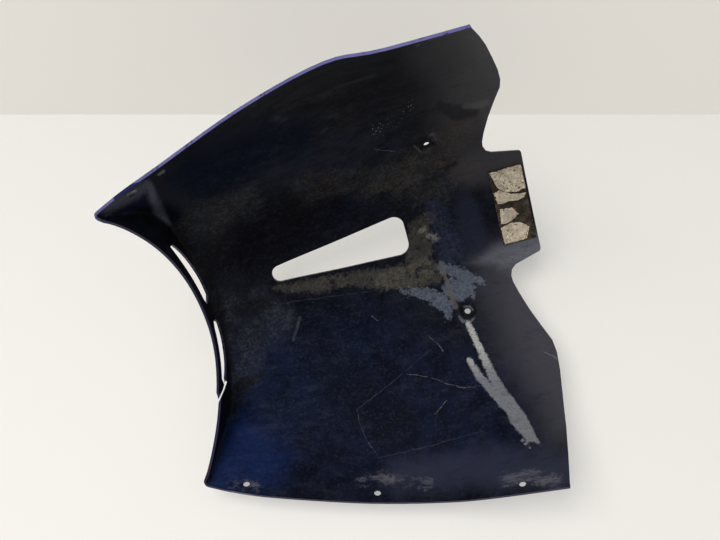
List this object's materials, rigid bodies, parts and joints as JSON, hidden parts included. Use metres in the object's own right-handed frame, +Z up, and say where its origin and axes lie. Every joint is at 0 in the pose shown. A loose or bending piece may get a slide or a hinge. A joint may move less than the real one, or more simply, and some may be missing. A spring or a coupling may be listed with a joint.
{
  "type": "lower air deflector",
  "caption": "Open-topped belly fairing shell for a motorbike, with a slotted arch at the front, a tapered opening in the keel, dished screw recesses and a rear tab with pad remains.",
  "frame": {"origin": "centre of the part's bounding box", "axes": "+X forward towards the slotted arch, +Y to the left across the wings (longest extent), +Z up out of the open side"},
  "size_m": [0.35, 0.406, 0.2228],
  "materials": {
    "shell_paint": "dark navy painted plastic, glossy outside, dull and dusty inside",
    "pad_foam": "black foam remains and old glue, matt",
    "pad_facing": "torn, dirty off-white facing"
  },
  "bodies": {
    "root": {"deflector_shell": "shell_paint", "foam_pad": "pad_foam", "pad_facing": "pad_facing"}
  },
  "joints": []
}
